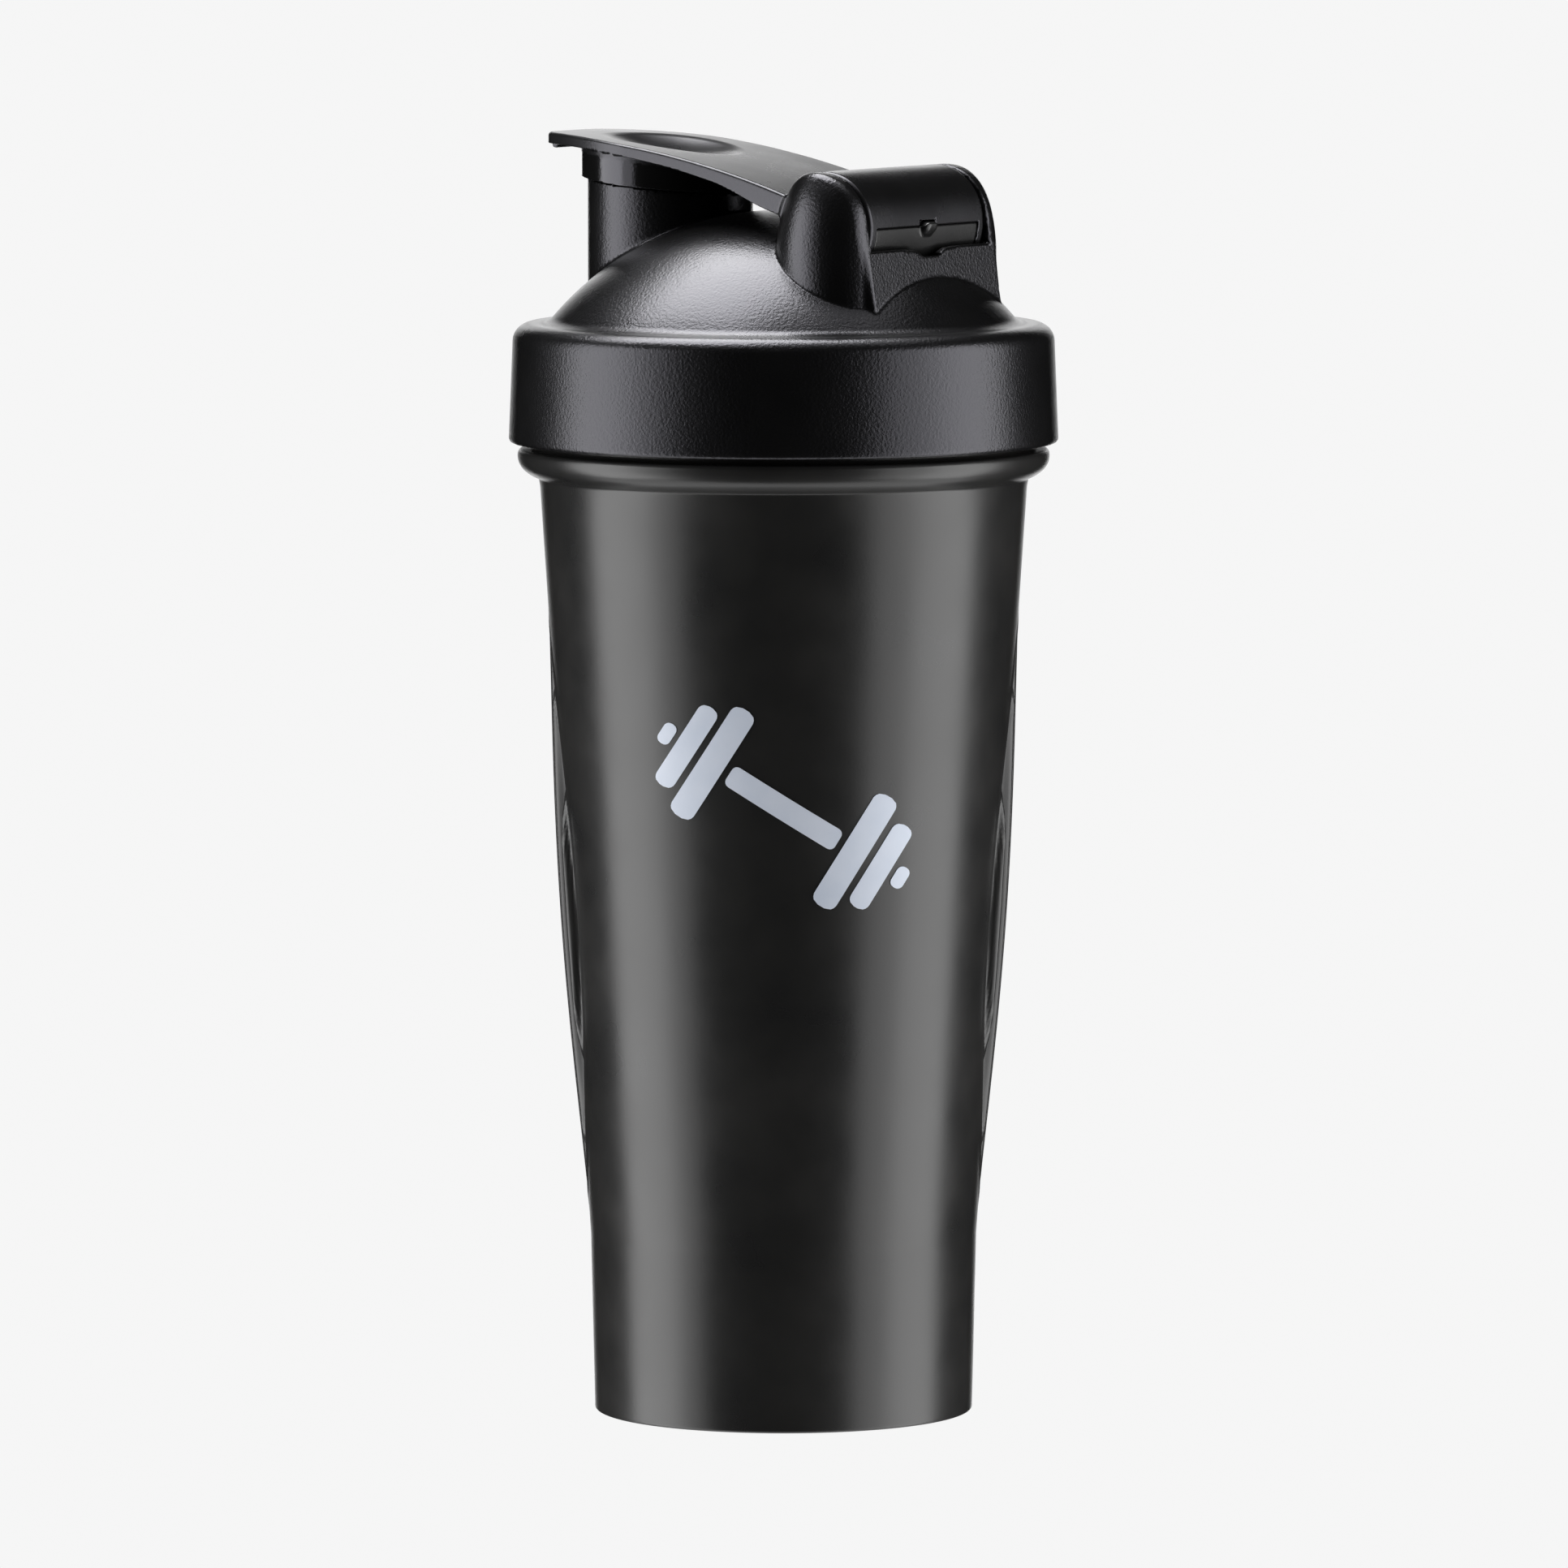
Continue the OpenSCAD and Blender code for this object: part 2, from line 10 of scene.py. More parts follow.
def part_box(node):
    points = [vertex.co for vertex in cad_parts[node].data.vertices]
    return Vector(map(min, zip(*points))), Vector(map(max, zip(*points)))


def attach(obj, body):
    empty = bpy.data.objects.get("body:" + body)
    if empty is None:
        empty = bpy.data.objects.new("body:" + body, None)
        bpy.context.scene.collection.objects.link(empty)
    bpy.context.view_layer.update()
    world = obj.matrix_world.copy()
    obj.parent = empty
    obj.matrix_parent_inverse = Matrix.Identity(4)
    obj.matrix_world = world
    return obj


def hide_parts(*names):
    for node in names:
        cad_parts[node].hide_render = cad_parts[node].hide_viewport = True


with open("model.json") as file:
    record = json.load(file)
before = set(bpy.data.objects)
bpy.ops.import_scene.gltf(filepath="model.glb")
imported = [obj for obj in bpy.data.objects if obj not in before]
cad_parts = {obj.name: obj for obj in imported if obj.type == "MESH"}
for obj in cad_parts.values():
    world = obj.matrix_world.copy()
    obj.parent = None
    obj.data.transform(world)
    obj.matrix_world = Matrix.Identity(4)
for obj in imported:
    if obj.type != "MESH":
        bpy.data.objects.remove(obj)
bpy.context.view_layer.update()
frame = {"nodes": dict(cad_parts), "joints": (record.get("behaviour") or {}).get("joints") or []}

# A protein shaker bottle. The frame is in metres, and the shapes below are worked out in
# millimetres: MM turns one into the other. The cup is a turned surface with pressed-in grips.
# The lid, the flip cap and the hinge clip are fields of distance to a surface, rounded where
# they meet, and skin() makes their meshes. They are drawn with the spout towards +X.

MM = 0.001


def joint(name):
    """A joint of the frame."""
    return next(j for j in frame["joints"] if j["name"] == name)


def reach(node, z):
    """How far a CAD node reaches towards +Y, clear of the grips, at height z, in millimetres."""
    tree = BVHTree.FromObject(frame["nodes"][node], bpy.context.evaluated_depsgraph_get())
    away = Vector((0, 1, 0))
    hit = tree.ray_cast(away + Vector((0, 0, z * MM)), -away)[0]
    return hit.y / MM


# ---------------------------------------------------------------- meshes

def mesh_object(name, points, faces, normals=None):
    """An object of points in millimetres, smooth-shaded, with its own normals if they are given."""
    mesh = bpy.data.meshes.new(name)
    mesh.from_pydata((np.asarray(points, float) * MM).tolist(), [], faces)
    mesh.validate()
    mesh.polygons.foreach_set("use_smooth", [True] * len(mesh.polygons))
    if normals is not None:
        mesh.normals_split_custom_set_from_vertices(normals.tolist())
    mesh.update()
    piece = bpy.data.objects.new(name, mesh)
    bpy.context.scene.collection.objects.link(piece)
    return piece


def arc(centre_r, centre_z, radius, start, end, steps):
    """Points (r, z) along an arc, its angles in degrees anticlockwise from +r."""
    angles = np.radians(np.linspace(start, end, steps + 1))
    return [(centre_r + radius * math.cos(a), centre_z + radius * math.sin(a)) for a in angles]


def line(start, end, step):
    """Points from start up to, but without, end, at most step apart."""
    start, end = np.array(start, float), np.array(end, float)
    count = max(1, math.ceil(np.linalg.norm(end - start) / step))
    return [tuple(start + (end - start) * i / count) for i in range(count)]


def lathe(name, profile, angles, push=None):
    """A closed solid: profile's points (r, z), from the axis round to the axis, at each angle."""
    r, z = np.array(profile[1:-1]).T
    rr = np.repeat(r[:, None], len(angles), 1)
    zz = np.repeat(z[:, None], len(angles), 1)
    aa = np.repeat(np.array(angles)[None, :], len(r), 0)
    if push is not None:
        rr = rr + push(rr, zz, aa)
    grid = np.stack([rr * np.cos(aa), rr * np.sin(aa), zz], -1).reshape(-1, 3)
    rows, columns = rr.shape
    poles = [(0, 0, profile[0][1]), (0, 0, profile[-1][1])]
    first, last = rows * columns, rows * columns + 1
    faces = []
    for i in range(rows - 1):
        for j in range(columns):
            k = (j + 1) % columns
            a, b = i * columns, (i + 1) * columns
            faces.append((a + j, a + k, b + k, b + j))
    top = (rows - 1) * columns
    faces += [(first, (j + 1) % columns, j) for j in range(columns)]
    faces += [(last, top + j, top + (j + 1) % columns) for j in range(columns)]
    return mesh_object(name, np.vstack([grid, poles]), faces)


def tube(name, path, radius, sides):
    """A round wire along path, with round ends."""
    path = np.asarray(path, float)
    along = np.gradient(path, axis=0)
    along /= np.linalg.norm(along, axis=1)[:, None]
    side = np.cross(along[0], (0, 0, 1))
    rings = []
    turns = np.linspace(0, 2 * math.pi, sides, endpoint=False)

    def ring(centre, direction, side, r):
        side = side - direction * (side @ direction)
        side /= np.linalg.norm(side)
        other = np.cross(direction, side)
        rings.append(centre + r * (np.cos(turns)[:, None] * side + np.sin(turns)[:, None] * other))
        return side

    cap = (20, 45, 70)
    for a in cap:
        side = ring(path[0] - along[0] * radius * math.cos(math.radians(a)), along[0], side,
                    radius * math.sin(math.radians(a)))
    for p, d in zip(path, along):
        side = ring(p, d, side, radius)
    for a in reversed(cap):
        side = ring(path[-1] + along[-1] * radius * math.cos(math.radians(a)), along[-1], side,
                    radius * math.sin(math.radians(a)))
    faces = []
    for i in range(len(rings) - 1):
        for k in range(sides):
            a, b = i * sides, (i + 1) * sides
            n = (k + 1) % sides
            faces.append((a + k, a + n, b + n, b + k))
    count = len(rings) * sides
    tips = [path[0] - along[0] * radius, path[-1] + along[-1] * radius]
    faces += [(count, (k + 1) % sides, k) for k in range(sides)]
    faces += [(count + 1, count - sides + k, count - sides + (k + 1) % sides) for k in range(sides)]
    return mesh_object(name, np.vstack(rings + [tips]), faces)


# ---------------------------------------------------------------- distance fields

SETTLE_STEPS = 4
SETTLE_SHARE = 0.3
FLAT_SLOPE = 0.3
TINY = 1e-9


def join(a, b, r):
    """Both solids, with a hollow fillet of radius r where they meet."""
    return np.maximum(r, np.minimum(a, b)) - np.hypot(np.maximum(r - a, 0), np.maximum(r - b, 0))


def keep(a, b, r):
    """What both solids share, with its edge rounded to radius r."""
    return np.minimum(-r, np.maximum(a, b)) + np.hypot(np.maximum(r + a, 0), np.maximum(r + b, 0))


def cut(a, b, r):
    """Solid a without b, with the edge rounded to radius r."""
    return keep(a, -b, r)


def gradient(field, p):
    """The slope of field at the points p, which are rows of x, y and z."""
    small = 0.01
    parts = []
    for axis in np.eye(3) * small:
        parts.append((field(*(p + axis).T) - field(*(p - axis).T)) / (2 * small))
    return np.stack(parts, 1)


def skin(name, field, low, high, step, turn):
    """The surface where field is 0, as a mesh of squares about step wide, turned about Z.

    Each cell of the grid that the surface crosses gets one point, at the middle of its crossings.
    A few short moves down the field's slope then settle the points on the surface.
    """
    axes = [np.arange(a, b + step, step) for a, b in zip(low, high)]
    value = field(*np.meshgrid(*axes, indexing="ij", sparse=True))
    inside = value < 0
    cells = [n - 1 for n in inside.shape]
    corners = [(i, j, k) for i in (0, 1) for j in (0, 1) for k in (0, 1)]
    count = np.zeros(cells, np.int8)
    for i, j, k in corners:
        count += inside[i:i + cells[0], j:j + cells[1], k:k + cells[2]]
    mixed = (count > 0) & (count < 8)
    where = np.argwhere(mixed)
    number = np.full(cells, -1)
    number[mixed] = np.arange(len(where))
    total, hits = np.zeros((len(where), 3)), np.zeros(len(where))
    unit = np.eye(3, dtype=int)
    for axis in range(3):
        for corner in corners:
            if corner[axis]:
                continue
            a = where + corner
            va, vb = value[tuple(a.T)], value[tuple((a + unit[axis]).T)]
            crosses = (va < 0) != (vb < 0)
            share = va[crosses] / (va[crosses] - vb[crosses])
            total[crosses] += a[crosses] + share[:, None] * unit[axis]
            hits[crosses] += 1
    points = np.array(low) + step * total / hits[:, None]
    quads = []
    for axis in range(3):
        u, w = unit[(axis + 1) % 3], unit[(axis + 2) % 3]
        near = np.take(inside, range(cells[axis]), axis)
        far = np.take(inside, range(1, cells[axis] + 1), axis)
        for change, order in ((near & ~far, 1), (far & ~near, -1)):
            at = np.argwhere(change)
            quad = np.stack([number[tuple(c.T)] for c in (at, at - u, at - u - w, at - w)], 1)
            quads.append(quad[:, ::order])
    for _ in range(SETTLE_STEPS):
        slope = gradient(field, points)
        move = (field(*points.T) / np.maximum((slope ** 2).sum(1), FLAT_SLOPE))[:, None] * slope
        length = np.linalg.norm(move, axis=1)[:, None]
        points -= move * np.minimum(1, SETTLE_SHARE * step / np.maximum(length, TINY))
    normals = gradient(field, points)
    normals /= np.maximum(np.linalg.norm(normals, axis=1)[:, None], TINY)
    c, s = math.cos(turn), math.sin(turn)
    spin = np.array([[c, s, 0], [-s, c, 0], [0, 0, 1]])
    return mesh_object(name, points @ spin, np.vstack(quads).tolist(), normals @ spin)


# ---------------------------------------------------------------- cup

RIM_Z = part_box("cup")[1].z / MM
BEAD_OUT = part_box("cup")[1].y / MM
BAND_Z = 30.6
SHOULDER_Z = 160.3
NECK_Z = 170.0
FOOT_R = reach("cup", 1)
BAND_R = reach("cup", BAND_Z)
SHOULDER_R = reach("cup", SHOULDER_Z - 0.2)
NECK_R = reach("cup", RIM_Z - 1)
CUP_WALL = 2.0
NECK_WALL = 2.8
FLOOR_Z = 3.8
FOOT_RECESS = 1.4
BEAD_SECTION_R = 3.3
BEAD_Z = SHOULDER_Z + 5.3
BEAD_TOP_Z = SHOULDER_Z + 6.5
BEAD_LOW_R = 6.0
BEAD_TURN = -47
GRIP_Z = 87.0
GRIP_HALF = 53.0
GRIP_HALF_W = 11.0
GRIP_DEPTH = 0.8
GRIP_RISE = 1.5
GRIP_REACH = 0.6
GRIP_EDGE_H = 0.16
GRIP_EDGE_OUT = 0.35
GRIP_EDGE_W = 0.45
RIB_STEP = math.radians(7)
RIB_HALF_W = 1.0
RIBS_A_SIDE = 2
RIB_END = 0.94
THREAD_PITCH = 6.0
THREAD_TURNS = 1.25
THREAD_Z = 172.0
THREAD_H = 1.2
THREAD_HALF_W = 1.4
THREAD_FLANK = 0.9
THREAD_FADE = 0.08


def wall_r(z):
    """Radius of the plain cup wall."""
    return np.interp(z, [0, BAND_Z, SHOULDER_Z], [FOOT_R, BAND_R, SHOULDER_R])


def smooth(x, low, high):
    """From 0 at low to 1 at high, with a soft start and end."""
    t = np.clip((x - low) / (high - low), 0, 1)
    return t * t * (3 - 2 * t)


def grip(z, around):
    """How far a grip pushes the wall out: a leaf-shaped hollow with upright ribs."""
    big = (GRIP_HALF ** 2 + GRIP_HALF_W ** 2) / (2 * GRIP_HALF_W)
    y = wall_r(z) * np.sin(around)
    up = (z - GRIP_Z) / GRIP_HALF
    half_w = np.sqrt(np.maximum(big ** 2 - (z - GRIP_Z) ** 2, 0)) - (big - GRIP_HALF_W)
    inside = half_w - np.abs(y)
    ground = -GRIP_DEPTH * smooth(inside, 0.0, 0.9)
    edge = GRIP_EDGE_H * np.exp(-((inside + GRIP_EDGE_OUT) / GRIP_EDGE_W) ** 2) * smooth(half_w, 0, 2)
    height = GRIP_DEPTH + GRIP_RISE * np.maximum(1 - up ** 2, 0) ** 1.5
    ribs = 0
    for k in range(-RIBS_A_SIDE, RIBS_A_SIDE + 1):
        off = wall_r(z) * np.abs(around - k * RIB_STEP)
        ribs = ribs + 0.5 * (1 + np.cos(np.pi * np.clip(off / (2 * RIB_HALF_W), 0, 1)))
    ribs = ribs * height * smooth(inside, 0.1, 1.3) * smooth(RIB_END - np.abs(up), 0, 0.05)
    return np.where(np.abs(around) < GRIP_REACH, ground + edge + ribs, 0)


def neck_thread(z, angle):
    """How far the screw thread stands out of the neck."""
    out = 0
    for k in (0, 1):
        turn = (angle % (2 * math.pi)) / (2 * math.pi) + k
        fade = smooth(turn, 0, THREAD_FADE) * smooth(THREAD_TURNS - turn, 0, THREAD_FADE)
        off = np.abs(z - THREAD_Z - THREAD_PITCH * turn)
        out = out + THREAD_H * fade * smooth(THREAD_HALF_W - off, 0, THREAD_FLANK)
    return out


def cup_push(r, z, angle):
    """How far the grips and the thread push the turned cup out."""
    outside = r > wall_r(z) - 1
    out = 0
    for side in (0, math.pi):
        around = (angle - side + math.pi) % (2 * math.pi) - math.pi
        out = out + grip(z, around)
    wall = outside & (z > BAND_Z) & (z < SHOULDER_Z - 10)
    neck = (r > NECK_R - 0.1) & (z > NECK_Z)
    return np.where(wall, out, 0) + np.where(neck, neck_thread(z, angle), 0)


def cup_profile():
    """The cup's section, from the middle of its underside round to the middle of its floor."""
    corner = 0.5
    ring_w = 3.2
    edge_r = 0.8
    bead_edge_r = 0.7
    floor_corner = 4.0
    grip_top_z = GRIP_Z + GRIP_HALF + 1
    funnel_z = 150.0
    inner_r = NECK_R - NECK_WALL
    floor_r = FOOT_R - CUP_WALL - floor_corner
    bead_r = BEAD_OUT - BEAD_SECTION_R
    low_r = bead_r - (BEAD_LOW_R - BEAD_SECTION_R) * math.cos(math.radians(BEAD_TURN))
    low_z = BEAD_Z - (BEAD_LOW_R - BEAD_SECTION_R) * math.sin(math.radians(BEAD_TURN))
    root_r = SHOULDER_R + 0.25
    root = -math.degrees(math.acos((root_r - low_r) / BEAD_LOW_R))
    root_z = low_z + BEAD_LOW_R * math.sin(math.radians(root))
    points = [(0, FOOT_RECESS), (6, FOOT_RECESS), (18, FOOT_RECESS)]
    points += arc(FOOT_R - ring_w - 1.2, FOOT_RECESS - 0.6, 0.6, 90, 0, 4)
    points += arc(FOOT_R - ring_w, 0.3, 0.3, 180, 270, 3)
    points += arc(FOOT_R - corner, corner, corner, -90, 0, 5)
    points += line((FOOT_R, 1), (wall_r(BAND_Z - 3), BAND_Z - 3), 4)
    points += [(wall_r(z), z) for z in np.arange(BAND_Z - 3, BAND_Z + 3, 0.5)]
    points += line((wall_r(BAND_Z + 3), BAND_Z + 3), (wall_r(grip_top_z), grip_top_z), 0.85)
    points += line((wall_r(grip_top_z), grip_top_z), (wall_r(SHOULDER_Z - 2), SHOULDER_Z - 2), 3)
    points += [(SHOULDER_R, SHOULDER_Z), (root_r - 0.05, root_z - 0.4), (root_r, root_z - 0.1)]
    points += arc(low_r, low_z, BEAD_LOW_R, root + 1.5, BEAD_TURN, 7)
    points += arc(bead_r, BEAD_Z, BEAD_SECTION_R, BEAD_TURN + 5, 10, 10)
    points += arc(bead_r + 2.5, BEAD_TOP_Z - bead_edge_r, bead_edge_r, 20, 90, 5)
    points += [(NECK_R + edge_r + 0.1, BEAD_TOP_Z)]
    points += arc(NECK_R + edge_r, BEAD_TOP_Z + edge_r, edge_r, 270, 180, 4)
    points += line((NECK_R, NECK_Z), (NECK_R, RIM_Z - edge_r), 0.4)
    points += arc(NECK_R - edge_r, RIM_Z - edge_r, edge_r, 0, 90, 5)
    points += arc(inner_r + edge_r, RIM_Z - edge_r, edge_r, 90, 180, 5)
    points += line((inner_r, RIM_Z - 2), (inner_r, BEAD_Z), 5)
    points += [(inner_r, BEAD_Z), (SHOULDER_R - CUP_WALL, SHOULDER_Z - 2)]
    points += line((wall_r(funnel_z) - CUP_WALL, funnel_z), (BAND_R - CUP_WALL, BAND_Z), 8)
    points += line((BAND_R - CUP_WALL, BAND_Z), (FOOT_R - CUP_WALL, FLOOR_Z + floor_corner + 0.5), 6)
    points += arc(floor_r, FLOOR_Z + floor_corner, floor_corner, 0, -90, 8)
    return points + [(16, FLOOR_Z), (5, FLOOR_Z), (0, FLOOR_Z)]


def cup_angles():
    """Columns all round the cup, close together across the two grips."""
    near = math.radians(19)
    fine_count, coarse_count = 85, 50
    fine = np.linspace(-near, near, fine_count)
    coarse = np.linspace(near, math.pi - near, coarse_count)[1:-1]
    half = np.concatenate([fine, coarse])
    return np.concatenate([half, half + math.pi])


def make_cup():
    """The cup, in one piece with its thread and grips."""
    return lathe("cup_body", cup_profile(), cup_angles(), cup_push)


# ---------------------------------------------------------------- print

PRINT_Z = sum(v.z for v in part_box("front_print")) / 2 / MM
PRINT_LENGTH = 52.0
PRINT_TILT = math.radians(-32)
PRINT_LIFT = 0.02
PRINT_THICK = 0.12


def rounded_plate(centre, width, height, corner):
    """A grid of points (x, y) over a rectangle with rounded corners, denser towards its ends."""
    rows, columns = 25, 13
    crowding = 0.18
    t = np.linspace(-1, 1, rows)
    v = (t + crowding * np.sin(np.pi * t)) * height / 2
    past = np.maximum(np.abs(v) - (height / 2 - corner), 0)
    half = width / 2 - corner + np.sqrt(np.maximum(corner ** 2 - past ** 2, 0))
    u = np.linspace(-1, 1, columns)
    return np.stack([centre + half[:, None] * u[None, :], np.repeat(v[:, None], columns, 1)], -1)


def dumbbell_plates():
    """Bar, plates and knobs: their middles, widths, heights and corners, in shares of the length."""
    parts = [(0, 0.42, 0.075, 0.02)]
    for side in (-1, 1):
        parts.append((side * 0.275, 0.085, 0.42, 0.03))
        parts.append((side * 0.375, 0.07, 0.31, 0.028))
        parts.append((side * 0.45, 0.045, 0.075, 0.02))
    return [rounded_plate(*(PRINT_LENGTH * value for value in part)) for part in parts]


def make_print():
    """The dumbbell as a thin layer that follows the cup's cone."""
    c, s = math.cos(PRINT_TILT), math.sin(PRINT_TILT)
    points, faces = [], []
    for plate in dumbbell_plates():
        rows, columns = plate.shape[:2]
        x = plate[..., 0] * c - plate[..., 1] * s
        z = plate[..., 0] * s + plate[..., 1] * c + PRINT_Z
        layers = []
        for lift in (PRINT_LIFT, PRINT_LIFT + PRINT_THICK):
            r = wall_r(z) + lift
            layers.append(np.stack([x, -np.sqrt(r ** 2 - x ** 2), z], -1).reshape(-1, 3))
        base = len(points)
        size = rows * columns
        points += [*layers[0], *layers[1]]
        for i in range(rows - 1):
            for j in range(columns - 1):
                a = base + i * columns + j
                quad = (a, a + 1, a + columns + 1, a + columns)
                faces.append(quad[::-1])
                faces.append(tuple(n + size for n in quad))
        rim = list(range(columns))
        rim += [i * columns + columns - 1 for i in range(1, rows)]
        rim += [(rows - 1) * columns + j for j in range(columns - 2, -1, -1)]
        rim += [i * columns for i in range(rows - 2, 0, -1)]
        for a, b in zip(rim, rim[1:] + rim[:1]):
            faces.append((base + a, base + b, base + size + b, base + size + a))
    piece = mesh_object("front_dumbbell", points, faces)
    piece.data.set_sharp_from_angle(angle=math.radians(50))
    return piece


# ---------------------------------------------------------------- lid and cap, from the hinge

HINGE = joint("cap_hinge")
LID_TURN = math.atan2(HINGE["axis"][0], -HINGE["axis"][1])
HINGE_X = -math.hypot(*HINGE["pos_m"][:2]) / MM
HINGE_Z = HINGE["pos_m"][2] / MM
BARREL_R = 9.6
BARREL_HALF = 17.3
BARREL_WALL = 2.0
END_DISC = 2.0
PIN_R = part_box("hinge_pin")[1].z / MM - HINGE_Z
NUB_HALF = 2.1
NUB_RISE = 1.3
NUB_R = 2.6
NUB_TOP = 0.6
NUB_PLAY = 0.3
CLIP_INSET = 0.15
CLIP_END_GAP = 0.1
SPLIT_GAP = 0.06

COLLAR_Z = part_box("lid")[0].z / MM
COLLAR_TOP_Z = 188.4
COLLAR_R = reach("lid", COLLAR_Z + 1)
COLLAR_TAPER = 0.04
BORE_R = NECK_R + THREAD_H + 0.6
THREAD_DROP = 2.1
FAR = 9.0
DOME_R = 52.2
DOME_Z = 155.6
LID_WALL = 2.0
CEILING_Z = 186.1
PLUG_R = NECK_R - NECK_WALL - 0.5
PLUG_Z = 181.5
PLUG_WALL = 1.5
EAR_Y = 14.0
EAR_R = 10.9
EAR_X = HINGE_X - 1.1
EAR_WAIST_Z = 201.0
EAR_TAPER_H = 18.5
EAR_TAPER_END = 0.95
EAR_EDGE_R = 0.8
REAR_X = -30.2
REAR_LEAN = math.radians(9.1)
EAR_CROWN_R = (HINGE_X - REAR_X) * math.cos(REAR_LEAN)
WEB_HALF = 19.4
WEB_TOP_Z = 202.3
WEB_DEPTH = 15.0
WEB_X = HINGE_X - WEB_DEPTH / 2
WEB_DIP = 1.1
WEB_DIP_HALF_W = 4.0
WEB_DIP_X = HINGE_X - 6.0
SLOT_HALF = BARREL_HALF + 0.5
POCKET_R = BARREL_R + 0.35
TROUGH_WALL = 2.4
TROUGH_END = 2.0
TROUGH_SINK = 0.5
SOCKET_PLAY = 0.1
SOCKET_HALF = 21.3
SPOUT_X = 23.9
SPOUT_R = 14.3
SPOUT_BORE_R = 11.5
SPOUT_RIM_Z = 214.6
SKIRT_EDGE_Z = 211.9
CAP_SLOPE = math.atan(0.09)
LAND_Z = SPOUT_RIM_Z + 1.07

MARGIN = 1.5
LID_STEP = 0.6
CAP_STEP = 0.35
CLIP_STEP = 0.3


def about_hinge(x, z, r):
    """Distance to a cylinder of radius r about the hinge axis."""
    return np.hypot(x - HINGE_X, z - HINGE_Z) - r


def over(x, z, level):
    """Height over a plane through the spout's axis at level that slopes with the cap."""
    return (z - level) * math.cos(CAP_SLOPE) - (x - SPOUT_X) * math.sin(CAP_SLOPE)


def lid_thread(r, angle, z):
    """The thread inside the collar, just under the neck's."""
    best = np.full(np.broadcast(r, angle, z).shape, FAR)
    start = THREAD_Z - THREAD_DROP
    for k in (0, 1):
        turn = (angle % (2 * math.pi)) / (2 * math.pi) + k
        fade = np.clip(np.minimum(turn, THREAD_TURNS - turn) / 0.06, 0, 1)
        crest = BORE_R - THREAD_H * fade
        half_w = 1.3 - 0.7 * np.clip((BORE_R - r) / THREAD_H, 0, 1)
        ridge = np.maximum(np.abs(z - start - THREAD_PITCH * turn) - half_w, crest - r)
        ridge = np.maximum(ridge, r - BORE_R - 1)
        best = np.minimum(best, np.where(turn < THREAD_TURNS, ridge, FAR))
    return best


def housing_field(x, y, z):
    """The two ears and the web between them, behind the barrel."""
    side = np.abs(y)
    up = np.clip((z - EAR_WAIST_Z) / EAR_TAPER_H, 0, EAR_TAPER_END)
    ear = np.hypot(x - EAR_X, side - EAR_Y) - EAR_R * np.sqrt(1 - up ** 2)
    web = np.maximum(np.maximum(side - WEB_HALF, z - WEB_TOP_Z), np.abs(x - WEB_X) - WEB_DEPTH / 2)
    wave = WEB_DIP * np.exp(-(y / WEB_DIP_HALF_W) ** 4)
    web = cut(web, np.maximum(WEB_TOP_Z - wave - z, x - WEB_DIP_X), 0.4)
    rear = (z - HINGE_Z) * math.sin(REAR_LEAN) - (x - REAR_X) * math.cos(REAR_LEAN)
    along = (x - HINGE_X) * math.sin(REAR_LEAN) + (z - HINGE_Z) * math.cos(REAR_LEAN)
    outline = np.maximum(np.minimum(about_hinge(x, z, EAR_CROWN_R), along), rear)
    housing = keep(join(ear, web, 0.8), outline, EAR_EDGE_R)
    slot = np.maximum(side - SLOT_HALF, WEB_TOP_Z - z)
    return np.maximum(cut(housing, slot, 0.25), CEILING_Z - z)


def spout_field(x, y, z):
    """The spout, whose top is stepped in so that the cap's skirt goes over it."""
    out = np.hypot(x - SPOUT_X, y)
    upper = keep(out - SPOUT_R + 1, over(x, z, SPOUT_RIM_Z), 0.4)
    lower = keep(out - SPOUT_R, over(x, z, SKIRT_EDGE_Z - 0.15), 0.15)
    return np.maximum(np.minimum(upper, lower), CEILING_Z + 1.5 - z)


